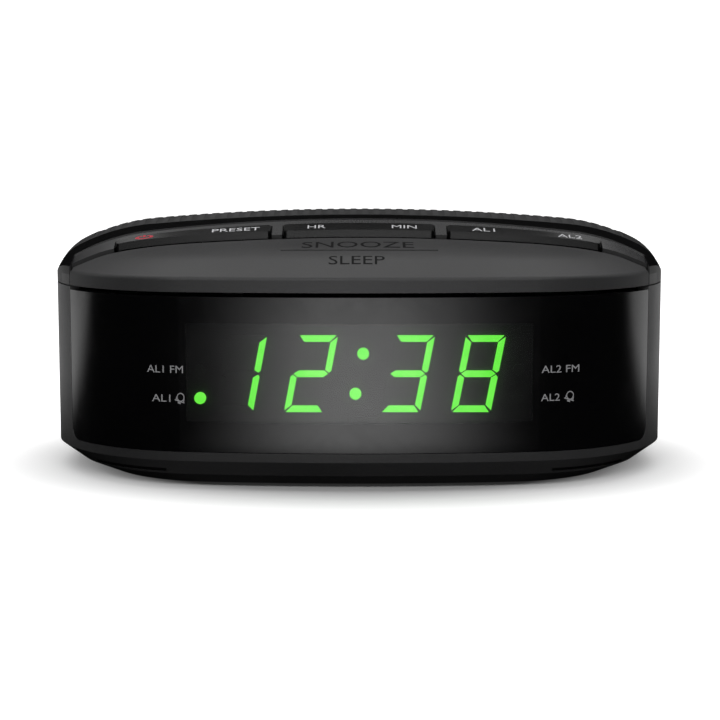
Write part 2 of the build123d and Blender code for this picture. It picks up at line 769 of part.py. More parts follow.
def key_cap(name):
    """A rocker: a curved bar with two stems and a pivot lug under its middle."""
    plan = key_plan(name, 0, key_front_depth)
    ends = plan.edges().filter_by(Axis.Z)
    plan = fillet(ends, 0.8)
    cap = (plan & above_trough(key_thickness - key_proud)) - above_trough(-key_proud)
    middle = key_middles[name]
    y = depth(key_middle_depth)
    pivot_z = trough_height(middle, key_middle_depth) - key_pivot_drop
    under = key_thickness - key_proud - 0.4
    for sign in (-1, 1):
        x = middle + sign * key_stem_x
        low = switch_top_z + key_stem_x * sin(radians(key_swing)) + 0.12
        stem = rod(key_stem_radius, trough_height(x, key_middle_depth) - under - low, (x, y, low))
        cap += stem & key_plan(name, 0, key_front_depth)
    cap += block((middle - 1.6, middle + 1.6), (y - 0.9, y + 0.9),
                 (pivot_z - 1.6, pivot_z + key_pivot_drop - under))
    return cap - rod(key_pivot_radius + 0.08, 10, (middle, y - 5, pivot_z), Axis.Y)


def key_pins():
    pins = []
    for name, middle in key_middles.items():
        pivot_z = trough_height(middle, key_middle_depth) - key_pivot_drop
        start = bar_rear_depth + bar_clearance + 0.5
        length = key_boss_depth + 1.2 - start
        pins.append(rod(key_pivot_radius, length, (middle, depth(start), pivot_z), Axis.Y))
    return pins


def key_trough():
    """The sloping strip between bar and arch: slab, front wall and the two side ends."""
    start = bar_rear_depth + bar_clearance
    low = bar_bottom_z
    rearward = behind(start) + bar_corners(bar_clearance)
    strip = prism(0, low, 90) & rearward & disc(arch_front_radius, arch_front_depth, low, 90)
    body = strip - above_trough()
    hollow = prism(wall, 0, 90) & behind(start + 1.4) & disc(arch_front_radius, arch_front_depth + 3, 0, 90)
    body -= hollow - above_trough(trough_thickness)
    # The front wall stops above the switches between the key board's ends.
    body -= block((-60, 60), (depth(start - 1), depth(start + 2)), (0, switch_top_z + 0.4))
    body -= arch_ends()
    for name in key_spans:
        body -= key_plan(name, key_clearance, start - 1) & above_trough(key_thickness + 0.5)
        middle = key_middles[name]
        pivot_z = trough_height(middle, key_middle_depth) - key_pivot_drop
        boss = block((middle - 2, middle + 2), (depth(key_boss_depth), depth(key_boss_depth + 1.4)),
                     (pivot_z - 1.8, 90)) - above_trough(0.8)
        body += boss & disc(arch_front_radius, arch_front_depth, 0, 90)
        length = key_boss_depth + 1.2 - start
        body -= rod(key_pivot_radius, length, (middle, depth(start + 0.5), pivot_z), Axis.Y)
    # Feet down to the key board, and the ears that carry the snooze bar.
    for x in (-41.0, 0.0, 41.0):
        body += block((x - 2.5, x + 2.5), (depth(start), depth(start + 1.4)),
                      (key_board_top_z, switch_top_z + 1))
    for sign in (-1, 1):
        middle = sign * bar_pivot_x
        ear = block((middle - bar_lug_width / 2, middle + bar_lug_width / 2),
                    (bar_pivot_y - 1.7, depth(start + 1.4)), (bar_pivot_z - 1.7, bar_pivot_z + 1.7))
        body += ear - rod(key_pivot_radius, 10, (middle - 5, bar_pivot_y, bar_pivot_z), Axis.X)
    return body


def key_board():
    low = key_board_top_z - board_thickness
    return block((-60, 60), (depth(6.5), depth(33.5)), (low, key_board_top_z)) & prism(5.2, 0, 90)


def switch_places():
    places = [(middle + sign * key_stem_x, depth(key_middle_depth))
              for middle in key_middles.values() for sign in (-1, 1)]
    return places, [(sign * snooze_switch_x, depth(snooze_switch_depth)) for sign in (-1, 1)]


def tact_switches():
    key_places, snooze_places = switch_places()
    half = switch_side / 2
    made = []
    for x, y in key_places + snooze_places:
        base = block((x - half, x + half), (y - half, y + half),
                     (key_board_top_z, key_board_top_z + switch_body))
        if (x, y) in key_places:
            base += rod(switch_button_radius, switch_button, (x, y, key_board_top_z + switch_body))
        else:
            base -= rod(switch_button_radius + 0.15, 1.2, (x, y, key_board_top_z + switch_body - 1.2))
        made.append(base)
    return made


def snooze_plungers():
    low = key_board_top_z + switch_body - 1.2 + switch_press + 0.15
    return [rod(switch_button_radius, switch_top_z - low, (x, y, low)) for x, y in switch_places()[1]]


# ---------------------------------------------------------------- hood, arch and grille
def arch_ends():
    """The two pieces of space where the arch comes down in front of the trough's ends."""
    start = lens_end_depth + bar_clearance
    return [block(sorted((sign * arch_end_x, sign * far)), (depth(start), depth(arch_rear_depth)),
                  (quad_top_z, 90)) for sign in (-1, 1)]


def arch_trim():
    """Glossy band over the top, wrapping down both sides in front of the hood."""
    skin = hood_form() & prism(0, bar_bottom_z, 90)
    skin -= hood_form(arch_thickness) & prism(arch_thickness, 0, 90)
    band = front_of(arch_rear_depth) - disc(arch_front_radius, arch_front_depth, 0, 90)
    rearward = behind(bar_rear_depth + bar_clearance) + bar_corners(bar_clearance)
    return skin & (band + arch_ends()) & rearward


def grille_plan(grow, low=30, high=90):
    return prism(grille_inset - grow, low, high) & behind(arch_rear_depth + 0.9 - grow)


def rear_hood():
    skin = (hood_form() & prism(0, bar_bottom_z, 90)) - (hood_form(hood_wall) & prism(hood_wall, 0, 90))
    body = (skin & behind(arch_rear_depth)) - grille_plan(0.0)
    collar_low, collar_high = housing_top_z - 3.5, baffle_top_z
    collar = prism(wall + 0.15, collar_low, collar_high) - prism(wall + 1.6, collar_low, collar_high)
    collar += prism(hood_wall - 0.1, bar_bottom_z + 0.3, collar_high) - prism(wall + 1.6, 0, collar_high)
    return body + (collar & behind(arch_rear_depth))


def grille_slots(width, start):
    """Upright slabs at the grille's pitch, from the starting depth to the rear."""
    count = int((half_width - grille_inset) / grille_pitch)
    return [block((place * grille_pitch - width / 2, place * grille_pitch + width / 2),
                  (depth(start), rear_y), (40, 80)) for place in range(-count, count + 1)]


def speaker_grille():
    """Domed insert with long slots front to back, stiffened by bars across its underside."""
    fit = -0.12
    plan = grille_plan(fit)
    form = (hood_form(0.15) - hood_form(0.15 + grille_skin)) & plan
    room = prism(grille_inset + 2.2, 30, 90) & behind(arch_rear_depth + 2.6)
    # Shallow flutes over the whole insert; behind the crown each is cut through as a slot.
    flutes = hood_form(0.15) - hood_form(0.15 + flute_depth)
    form -= [flutes & flute for flute in grille_slots(flute_width, arch_rear_depth)]
    form -= [slot & room for slot in grille_slots(grille_slot, slot_start_depth)]
    under = (hood_form(0.15 + grille_skin - 0.1) - hood_form(0.15 + grille_skin + 1.2)) & plan
    span = rear_y - grille_inset - depth(arch_rear_depth)
    for bar in range(grille_bars):
        y = depth(arch_rear_depth) + span * (bar + 0.9) / grille_bars
        form += under & block((-far, far), (y - 0.8, y + 0.8), (30, 90))
    return form


# ---------------------------------------------------------------- speaker
speaker_y = depth(speaker_depth)
flange_top_z = baffle_top_z + speaker_flange
basket_low_z = flange_top_z - basket_depth


def at_speaker(shape, z=0.0):
    return Pos(0, speaker_y, z) * shape


def turned(points):
    """Solid of revolution about the speaker's axis from (radius, height) points."""
    corners = [Vector(r, 0, z) for r, z in points]
    face = Face(Wire([Line(corners[i], corners[(i + 1) % len(corners)]) for i in range(len(corners))]))
    return at_speaker(revolve(face, Axis.Z, 360))


def speaker_baffle():
    low = baffle_top_z - baffle_thickness
    plate = prism(wall + 1.6, low, baffle_top_z) & behind(arch_rear_depth + 0.2)
    return plate - at_speaker(Cylinder(speaker_radius - 2.4, 10), baffle_top_z)


def speaker_basket():
    r_in = cone_radius + surround_width
    low = basket_low_z
    body = turned([(r_in - 0.6, baffle_top_z), (speaker_radius, baffle_top_z), (speaker_radius, flange_top_z),
                   (r_in - 0.6, flange_top_z)])
    body += turned([(r_in + 0.4, baffle_top_z + 0.1), (r_in - 0.6, baffle_top_z + 0.1),
                    (magnet_radius - 1.0, low + 1.0), (coil_radius + 1.4, low + 1.0),
                    (coil_radius + 1.4, low), (magnet_radius, low)])
    for turn in range(4):
        window = Pos(0, speaker_y, (low + baffle_top_z) / 2) * Rot(0, 0, 45 + 90 * turn) * Pos(15, 0, 0.3)
        body -= window * Box(9, 12, basket_depth - 5)
    return body


def front_plate():
    low = basket_low_z - plate_thickness
    return turned([(coil_radius + 0.9, low), (magnet_radius - 1, low), (magnet_radius - 1, basket_low_z),
                   (coil_radius + 0.9, basket_low_z)])


def magnet():
    high = basket_low_z - plate_thickness
    return turned([(coil_radius + 2.0, high - magnet_height), (magnet_radius, high - magnet_height),
                   (magnet_radius, high), (coil_radius + 2.0, high)])


def pole_plate():
    high = basket_low_z - plate_thickness - magnet_height
    return turned([(0, high - plate_thickness), (magnet_radius - 1, high - plate_thickness),
                   (magnet_radius - 1, high), (coil_radius - 1.0, high), (coil_radius - 1.0, basket_low_z),
                   (0, basket_low_z)])


def speaker_cone():
    high = flange_top_z - 0.2
    low = high - cone_depth
    cone = turned([(coil_radius, low), (cone_radius, high), (cone_radius, high + cone_thickness),
                   (coil_radius - 0.6, low + cone_thickness)])
    end = basket_low_z - plate_thickness + cone_travel + 0.3
    former = turned([(coil_radius - 0.5, end), (coil_radius, end),
                     (coil_radius, low + 0.3), (coil_radius - 0.5, low + 0.3)])
    return cone + former


def dust_cap():
    low = flange_top_z - 0.2 - cone_depth
    ball = 9.0
    reach = coil_radius + 1.2
    rise = sqrt(ball ** 2 - reach ** 2)
    seat = low + cone_thickness + (reach - coil_radius + 0.6) * cone_depth / (cone_radius - coil_radius)
    cap = Pos(0, speaker_y, seat - rise) * (Sphere(ball) - Sphere(ball - 0.5))
    return cap & at_speaker(Pos(0, 0, 10) * Cylinder(reach, 20), seat)


def surround():
    high = flange_top_z - 0.2
    r0, r1 = cone_radius, cone_radius + surround_width - 0.6
    middle = (r0 + r1) / 2
    half = (r1 - r0) / 2
    outer = ThreePointArc((r0, 0, high), (middle, 0, high + half), (r1, 0, high))
    inner = ThreePointArc((r1 - 0.5, 0, high), (middle, 0, high + half - 0.5), (r0 + 0.5, 0, high))
    face = make_face([outer, Line((r1, 0, high), (r1 - 0.5, 0, high)), inner,
                      Line((r0 + 0.5, 0, high), (r0, 0, high))])
    return at_speaker(revolve(face, Axis.Z, 360)) - speaker_cone()


def speaker_gasket_ring():
    return turned([(cone_radius + surround_width, flange_top_z), (speaker_radius, flange_top_z),
                   (speaker_radius, flange_top_z + speaker_gasket),
                   (cone_radius + surround_width, flange_top_z + speaker_gasket)])


# ---------------------------------------------------------------- electronics
def main_board():
    plate = block((-board_half_x, board_half_x), (depth(board_front_depth), depth(board_rear_depth)),
                  (board_z, board_z + board_thickness)) & prism(8, 0, 90)
    for x, y in posts:
        plate -= rod(screw_shank_radius, far, (x, y, 0))
    return plate


board_top_z = board_z + board_thickness


def board_header():
    near = module_front_depth + module_depth + board_thickness
    return block((-header_half_x, header_half_x), (depth(near), depth(board_front_depth + 3.0)),
                 (board_top_z, board_top_z + header_height))


def chips():
    return [block((x - wide / 2, x + wide / 2), (y - deep / 2, y + deep / 2),
                  (board_top_z, board_top_z + high))
            for x, y, wide, deep, high in chip_places]


def capacitors():
    return [rod(radius, height, (x, y, board_top_z)) for x, y, radius, height in capacitor_places]


def crystal_can():
    can = block((-crystal_length / 2, crystal_length / 2),
                (crystal_y - crystal_width / 2, crystal_y + crystal_width / 2),
                (board_top_z, board_top_z + crystal_height))
    return fillet(can.edges().filter_by(Axis.Z), crystal_width / 2 - 0.1)


def tuner_shield():
    return block(shield_x, shield_y, (board_top_z, board_top_z + shield_height))


def inlet_jack():
    half = inlet_side / 2
    mouth = rear_y - inlet_x ** 2 / (2 * rear_radius) - 0.6
    body = block((inlet_x - half, inlet_x + half), (mouth - inlet_length - 2, mouth - 2.6),
                 (inlet_z - half, board_z))
    body += rod(inlet_nose_radius, 3.0, (inlet_x, mouth - 3.0, inlet_z), Axis.Y)
    floor = (inlet_x, mouth - inlet_bore_length, inlet_z)
    return body - rod(inlet_bore_radius, inlet_bore_length + 1, floor, Axis.Y)


def inlet_pin():
    mouth = rear_y - inlet_x ** 2 / (2 * rear_radius) - 0.6
    floor = (inlet_x, mouth - inlet_bore_length, inlet_z)
    return rod(inlet_pin_radius, inlet_bore_length - 1.5, floor, Axis.Y)


def aerial_bush():
    face = rear_y - aerial_x ** 2 / (2 * rear_radius)
    body = rod(aerial_bush_radius, 4.4, (aerial_x, face - 3.8, aerial_z), Axis.Y)
    body += rod(aerial_bush_radius + 1.2, 1.0, (aerial_x, face - wall - 1.8, aerial_z), Axis.Y)
    return body - rod(aerial_hole_radius, 20, (aerial_x, face - 12, aerial_z), Axis.Y)


# ---------------------------------------------------------------- write the pieces
def write(name, shape):
    pieces = shape if isinstance(shape, (list, tuple)) else [shape]
    solids = [solid for piece in pieces for solid in piece.solids()]
    export_step(Compound(children=solids) if len(solids) > 1 else solids[0], f"parts/{name}.step")


os.makedirs("parts", exist_ok=True)

write("base_cover", base_cover())
write("battery_well", battery_well())
write("battery_door", battery_door())
write("door_pins", door_pins())
write("battery_cells", battery_cells())
write("battery_contacts", battery_contacts())
write("rubber_feet", rubber_feet())
write("cover_screws", screws(cover_screws, foot_height + screw_head, cover_screw_length, False))
write("board_screws", screws(posts, board_z + board_thickness, board_screw_length, True))

write("lower_housing", lower_housing())
write("display_lens", display_lens())
write("display_window", display_window())
write("led_module", led_module())
for place, figure in enumerate(shown):
    write(f"lit_digit_{place + 1}", digit_segments(place, figures[figure]))
write("unlit_segments", unlit_segments())
write("lit_dots", lit_dots())
write("unlit_dots", unlit_dots())

write("snooze_bar", snooze_bar())
write("snooze_pins", bar_pins())
for name in key_spans:
    write(f"key_{name}", key_cap(name))
write("key_pins", key_pins())
write("key_trough", key_trough())
write("key_board", key_board())
write("tact_switches", tact_switches())
write("snooze_plungers", snooze_plungers())

write("arch_trim", arch_trim())
write("rear_hood", rear_hood())
write("speaker_grille", speaker_grille())
write("speaker_baffle", speaker_baffle())
write("speaker_basket", speaker_basket())
write("speaker_gasket", speaker_gasket_ring())
write("speaker_cone", speaker_cone())
write("dust_cap", dust_cap())
write("speaker_surround", surround())
write("front_plate", front_plate())
write("speaker_magnet", magnet())
write("pole_plate", pole_plate())

write("display_board", display_board())
write("main_board", main_board())
write("board_header", board_header())
write("chips", chips())
write("capacitors", capacitors())
write("crystal_can", crystal_can())
write("tuner_shield", tuner_shield())
write("inlet_jack", inlet_jack())
write("inlet_pin", inlet_pin())
write("aerial_bush", aerial_bush())
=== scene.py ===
"""Looks of a bedside LED clock radio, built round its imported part. Metres, +Z up, display towards -Y."""

import json
from math import pi, radians

import bpy
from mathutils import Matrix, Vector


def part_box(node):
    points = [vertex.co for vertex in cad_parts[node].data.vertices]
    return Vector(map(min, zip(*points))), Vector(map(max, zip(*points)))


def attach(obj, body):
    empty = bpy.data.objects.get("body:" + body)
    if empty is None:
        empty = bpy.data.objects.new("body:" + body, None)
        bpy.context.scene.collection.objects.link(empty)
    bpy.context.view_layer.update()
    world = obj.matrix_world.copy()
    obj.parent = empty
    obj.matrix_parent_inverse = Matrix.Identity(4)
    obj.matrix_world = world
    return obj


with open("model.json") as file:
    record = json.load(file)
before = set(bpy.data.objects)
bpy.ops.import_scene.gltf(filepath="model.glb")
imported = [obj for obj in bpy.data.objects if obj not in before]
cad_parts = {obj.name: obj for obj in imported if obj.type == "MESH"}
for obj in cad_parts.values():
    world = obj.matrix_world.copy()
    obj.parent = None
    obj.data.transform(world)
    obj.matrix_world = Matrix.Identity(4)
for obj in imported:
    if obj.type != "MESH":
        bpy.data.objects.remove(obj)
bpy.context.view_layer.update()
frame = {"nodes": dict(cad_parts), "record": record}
nodes = frame["nodes"]
MM = 0.001
FLUTE_PITCH = 3.0 * MM
BAND_X, BAND_HALF_WIDTH = 6 * MM, 11 * MM  # the lighter band on the cells' jacket
TROUGH_END_X, TROUGH_END_TOP_Z = 70.5 * MM, 50.2 * MM
ARCH_FOOT_TOP_Z = 52.3 * MM


# ---------------------------------------------------------------- node groups shared by the finishes
def effect_group(name, inputs, outputs):
    """An empty shader group with its sockets."""
    tree = bpy.data.node_groups.new(name, "ShaderNodeTree")
    kinds = {"float": "NodeSocketFloat", "colour": "NodeSocketColor", "vector": "NodeSocketVector"}
    for label, kind, start in inputs:
        socket = tree.interface.new_socket(label, in_out="INPUT", socket_type=kinds[kind])
        socket.default_value = start
    for label, kind in outputs:
        tree.interface.new_socket(label, in_out="OUTPUT", socket_type=kinds[kind])
    return tree


def add(tree, kind, links=None, **settings):
    """A node with its properties set; links maps an input to a socket or a plain value."""
    node = tree.nodes.new(kind)
    for key, value in settings.items():
        setattr(node, key, value)
    for key, source in (links or {}).items():
        socket = node.inputs[key]
        if isinstance(source, bpy.types.NodeSocket):
            tree.links.new(source, socket)
        else:
            socket.default_value = source
    return node


def math_node(tree, operation, first, second=0.0, clamp=False):
    node = add(tree, "ShaderNodeMath", {0: first, 1: second}, operation=operation, use_clamp=clamp)
    return node.outputs[0]


def ranged(tree, value, low, high, to_low, to_high, **settings):
    links = {"Value": value, "From Min": low, "From Max": high, "To Min": to_low, "To Max": to_high}
    return add(tree, "ShaderNodeMapRange", links, **settings).outputs[0]


def noise(tree, where, scale, detail=2.0, roughness=0.5, distortion=0.0):
    links = {"Vector": where, "Scale": scale, "Detail": detail, "Roughness": roughness,
             "Distortion": distortion}
    return add(tree, "ShaderNodeTexNoise", links).outputs["Fac"]


def object_place(tree):
    return add(tree, "ShaderNodeTexCoord").outputs["Object"]


def grey_of(tree, level):
    return add(tree, "ShaderNodeCombineColor", {0: level, 1: level, 2: level}).outputs[0]


def mixed(tree, share, first, second, blend="MIX"):
    node = add(tree, "ShaderNodeMix", data_type="RGBA", blend_type=blend)
    for index, source in ((0, share), (6, first), (7, second)):
        if isinstance(source, bpy.types.NodeSocket):
            tree.links.new(source, node.inputs[index])
        else:
            node.inputs[index].default_value = source
    return node.outputs[2]


def send(tree, outlets, values):
    for label, value in values.items():
        tree.links.new(value, outlets.inputs[label])


def moulded_grain_group():
    """Spark-eroded mould texture: fine pits, with slow drifts of tone and gloss from the moulding."""
    tree = effect_group(
        "moulded_grain",
        [("Tone", "colour", (0.03, 0.03, 0.03, 1)), ("Grain", "float", 2600.0), ("Drift", "float", 0.12),
         ("Rough Low", "float", 0.4), ("Rough High", "float", 0.6)],
        [("Colour", "colour"), ("Roughness", "float"), ("Height", "float")],
    )
    inlets, outlets = tree.nodes.new("NodeGroupInput"), tree.nodes.new("NodeGroupOutput")
    where = object_place(tree)
    pits = noise(tree, where, inlets.outputs["Grain"], 3.0, 0.65)
    drift = noise(tree, where, 24.0, 2.0)
    down = math_node(tree, "SUBTRACT", 1.0, inlets.outputs["Drift"])
    up = math_node(tree, "ADD", 1.0, inlets.outputs["Drift"])
    shade = ranged(tree, drift, 0.3, 0.7, down, up)
    speck = ranged(tree, pits, 0.35, 0.65, 0.9, 1.1)
    level = math_node(tree, "MULTIPLY", shade, speck)
    colour = mixed(tree, 1.0, inlets.outputs["Tone"], grey_of(tree, level), "MULTIPLY")
    gloss = math_node(tree, "MULTIPLY", math_node(tree, "ADD", drift, pits), 0.5)
    rough = ranged(tree, gloss, 0.38, 0.62, inlets.outputs["Rough Low"], inlets.outputs["Rough High"])
    send(tree, outlets, {"Colour": colour, "Roughness": rough, "Height": pits})
    return tree


def settled_dust_group():
    """A mask of dust on faces that look up, broken into patches and specks."""
    tree = effect_group("settled_dust", [("Amount", "float", 0.1)], [("Mask", "float")])
    inlets, outlets = tree.nodes.new("NodeGroupInput"), tree.nodes.new("NodeGroupOutput")
    where = object_place(tree)
    normal = add(tree, "ShaderNodeNewGeometry").outputs["Normal"]
    upward = add(tree, "ShaderNodeSeparateXYZ", {0: normal}).outputs["Z"]
    facing = ranged(tree, upward, 0.3, 1.0, 0.0, 1.0)
    patches = ranged(tree, noise(tree, where, 55.0, 4.0), 0.35, 0.75, 0.2, 1.0)
    specks = ranged(tree, noise(tree, where, 3800.0, 2.0), 0.62, 0.72, 0.0, 1.0)
    film = math_node(tree, "MULTIPLY", facing, patches)
    both = math_node(tree, "ADD", math_node(tree, "MULTIPLY", specks, 0.6), 0.4)
    lying = math_node(tree, "MULTIPLY", film, both)
    send(tree, outlets, {"Mask": math_node(tree, "MULTIPLY", lying, inlets.outputs["Amount"], True)})
    return tree


def finger_marks_group():
    """A mask of faint smears, as left by handling and wiping."""
    tree = effect_group("finger_marks", [("Size", "float", 90.0), ("Strength", "float", 0.5)],
                        [("Mask", "float")])
    inlets, outlets = tree.nodes.new("NodeGroupInput"), tree.nodes.new("NodeGroupOutput")
    where = object_place(tree)
    smears = noise(tree, where, inlets.outputs["Size"], 5.0, 0.6, 1.4)
    wiped = ranged(tree, smears, 0.45, 0.75, 0.0, 1.0)
    send(tree, outlets, {"Mask": math_node(tree, "MULTIPLY", wiped, inlets.outputs["Strength"], True)})
    return tree


def brushed_group():
    """Fine drawn lines along one way, for sheet steel and turned metal."""
    tree = effect_group(
        "drawn_lines",
        [("Stretch", "vector", (1.0, 1.0, 1.0)), ("Lines", "float", 3000.0), ("Rough Low", "float", 0.2),
         ("Rough High", "float", 0.4)],
        [("Level", "float"), ("Roughness", "float"), ("Height", "float")],
    )
    inlets, outlets = tree.nodes.new("NodeGroupInput"), tree.nodes.new("NodeGroupOutput")
    where = object_place(tree)
    stretched = add(tree, "ShaderNodeVectorMath", {0: where, 1: inlets.outputs["Stretch"]},
                    operation="MULTIPLY")
    lines = noise(tree, stretched.outputs[0], inlets.outputs["Lines"], 2.0)
    level = ranged(tree, lines, 0.3, 0.7, 0.85, 1.1)
    rough = ranged(tree, lines, 0.3, 0.7, inlets.outputs["Rough Low"], inlets.outputs["Rough High"])
    send(tree, outlets, {"Level": level, "Roughness": rough, "Height": lines})
    return tree


GRAIN, DUST = moulded_grain_group(), settled_dust_group()
MARKS, DRAWN = finger_marks_group(), brushed_group()
DUST_COLOUR = (0.30, 0.29, 0.27, 1)


# ---------------------------------------------------------------- finishes
def blank(name, **constants):
    """A material with one Principled shader; constants go straight on the shader's own sockets."""
    material = bpy.data.materials.new(name)
    material.use_nodes = True
    tree = material.node_tree
    shader = tree.nodes["Principled BSDF"]
    for label, value in constants.items():
        shader.inputs[label.replace("_", " ")].default_value = value
    return material, tree, shader


def use_group(tree, group, **values):
    node = add(tree, "ShaderNodeGroup", node_tree=group)
    for label, value in values.items():
        node.inputs[label.replace("_", " ")].default_value = value
    return node.outputs


def bumped(tree, shader, height, distance):
    bump = add(tree, "ShaderNodeBump", {"Height": height, "Strength": 1.0, "Distance": distance})
    tree.links.new(bump.outputs["Normal"], shader.inputs["Normal"])


def moulded(name, tone, rough, grain=2600.0, pit=0.03, drift=0.1, dust=0.0, **constants):
    """Moulded plastic: tone is linear grey or a colour, pit the depth of the texture in millimetres."""
    material, tree, shader = blank(name, **constants)
    colour = (tone, tone, tone * 1.03, 1) if isinstance(tone, float) else (*tone, 1)
    body = use_group(tree, GRAIN, Tone=colour, Grain=grain, Drift=drift,
                     Rough_Low=rough[0], Rough_High=rough[1])
    skin = body["Colour"]
    if dust:
        lying = use_group(tree, DUST, Amount=dust)["Mask"]
        skin = mixed(tree, lying, skin, DUST_COLOUR)
    tree.links.new(skin, shader.inputs["Base Color"])
    tree.links.new(body["Roughness"], shader.inputs["Roughness"])
    bumped(tree, shader, body["Height"], pit * MM)
    return material


def glossy(name, tone, rough, marks=0.4, dust=0.0, **constants):
    """Polished black plastic: a slow drift of tone, wiping marks in its gloss, and a little dust."""
    material, tree, shader = blank(name, **constants)
    body = use_group(tree, GRAIN, Tone=(*tone, 1), Grain=900.0, Drift=0.1,
                     Rough_Low=rough, Rough_High=rough * 1.2)
    smear = use_group(tree, MARKS, Size=70.0, Strength=marks)["Mask"]
    dulled = math_node(tree, "ADD", body["Roughness"], math_node(tree, "MULTIPLY", smear, 0.12))
    skin = body["Colour"]
    if dust:
        skin = mixed(tree, use_group(tree, DUST, Amount=dust)["Mask"], skin, DUST_COLOUR)
    tree.links.new(skin, shader.inputs["Base Color"])
    tree.links.new(dulled, shader.inputs["Roughness"])
    bumped(tree, shader, body["Height"], 0.0008 * MM)
    return material


def metal(name, tone, rough, stretch=(1.0, 1.0, 1.0), lines=3000.0, scratch=0.004):
    """Plated or bare metal with drawn lines and faint staining."""
    material, tree, shader = blank(name, Metallic=1.0)
    cut = use_group(tree, DRAWN, Stretch=stretch, Lines=lines, Rough_Low=rough[0], Rough_High=rough[1])
    skin = mixed(tree, 1.0, (*tone, 1), grey_of(tree, cut["Level"]), "MULTIPLY")
    stain = use_group(tree, MARKS, Size=160.0, Strength=0.35)["Mask"]
    skin = mixed(tree, stain, skin, (tone[0] * 0.6, tone[1] * 0.58, tone[2] * 0.55, 1))
    tree.links.new(skin, shader.inputs["Base Color"])
    tree.links.new(cut["Roughness"], shader.inputs["Roughness"])
    bumped(tree, shader, cut["Height"], scratch * MM)
    return material


def lit_led():
    """Green LED segments seen through their diffuser: a little uneven."""
    material, tree, shader = blank("lit_segment", Roughness=0.5, Emission_Strength=4.4)
    where = object_place(tree)
    uneven = ranged(tree, noise(tree, where, 260.0, 2.0), 0.3, 0.7, 0.0, 1.0)
    glow = mixed(tree, uneven, (0.13, 0.92, 0.045, 1), (0.20, 1.0, 0.09, 1))
    tree.links.new(glow, shader.inputs["Emission Color"])
    body = mixed(tree, uneven, (0.02, 0.09, 0.02, 1), (0.03, 0.12, 0.03, 1))
    tree.links.new(body, shader.inputs["Base Color"])
    return material


def circuit_board():
    """Green solder mask over copper tracks, with a faint weave of glass cloth."""
    material, tree, shader = blank("solder_mask", Coat_Weight=0.3, Coat_Roughness=0.15)
    where = object_place(tree)
    tracks = add(tree, "ShaderNodeTexBrick", {
        "Vector": where, "Scale": 190.0, "Mortar Size": 0.06,
        "Color1": (0, 0, 0, 1), "Color2": (0, 0, 0, 1), "Mortar": (1, 1, 1, 1)})
    cloth = noise(tree, where, 1400.0, 2.0)
    ground = mixed(tree, cloth, (0.004, 0.045, 0.014, 1), (0.007, 0.075, 0.024, 1))
    skin = mixed(tree, tracks.outputs["Color"], ground, (0.02, 0.16, 0.05, 1))
    tree.links.new(skin, shader.inputs["Base Color"])
    tree.links.new(ranged(tree, cloth, 0.3, 0.7, 0.3, 0.45), shader.inputs["Roughness"])
    bumped(tree, shader, tracks.outputs["Fac"], 0.02 * MM)
    return material


def paper_cone():
    """Pressed paper: long soft fibres."""
    material, tree, shader = blank("pressed_paper", Sheen_Weight=0.2)
    where = object_place(tree)
    fibres = noise(tree, where, 1300.0, 5.0, 0.7, 2.5)
    skin = mixed(tree, fibres, (0.012, 0.011, 0.01, 1), (0.05, 0.047, 0.042, 1))
    tree.links.new(skin, shader.inputs["Base Color"])
    tree.links.new(ranged(tree, fibres, 0.3, 0.7, 0.75, 0.95), shader.inputs["Roughness"])
    bumped(tree, shader, fibres, 0.08 * MM)
    return material


def battery_jacket():
    """Printed film on the cells: a blue body with a lighter band round the middle."""
    material, tree, shader = blank("cell_jacket", Metallic=0.4, Coat_Weight=0.5, Coat_Roughness=0.1)
    where = object_place(tree)
    along = add(tree, "ShaderNodeSeparateXYZ", {0: where}).outputs["X"]
    off_band = math_node(tree, "ABSOLUTE", math_node(tree, "ADD", along, -BAND_X))
    band = math_node(tree, "LESS_THAN", off_band, BAND_HALF_WIDTH)
    worn = noise(tree, where, 500.0, 3.0)
    skin = mixed(tree, band, (0.015, 0.04, 0.12, 1), (0.45, 0.46, 0.48, 1))
    tree.links.new(mixed(tree, ranged(tree, worn, 0.5, 0.9, 0.0, 0.5), skin, (0.2, 0.2, 0.2, 1)),
                   shader.inputs["Base Color"])
    tree.links.new(ranged(tree, worn, 0.3, 0.7, 0.22, 0.36), shader.inputs["Roughness"])
    return material


def fluted_grille():
    """Grille plastic, with painted shade down in its flutes."""
    material = moulded("grille_plastic", 0.040, (0.5, 0.64), pit=0.03, dust=0.05)
    tree = material.node_tree
    across = add(tree, "ShaderNodeSeparateXYZ", {0: object_place(tree)}).outputs["X"]
    beside_flute = math_node(tree, "PINGPONG", across, FLUTE_PITCH / 2)
    # Painted shade: the base colour is darkened towards the floor of each flute.
    painted_flute_shade = ranged(tree, beside_flute, 0.5 * MM, 0.95 * MM, 1.0, 0.0)
    into = tree.nodes["Principled BSDF"].inputs["Base Color"]
    tree.links.new(mixed(tree, painted_flute_shade, into.links[0].from_socket, (0.58, 0.58, 0.58, 1), "MULTIPLY"), into)
    return material


def print_ink(name, tone, rough=(0.45, 0.6), **constants):
    """Screen-printed legend: thin, slightly uneven ink."""
    return moulded(name, tone, rough, grain=6000.0, pit=0.002, drift=0.08, **constants)


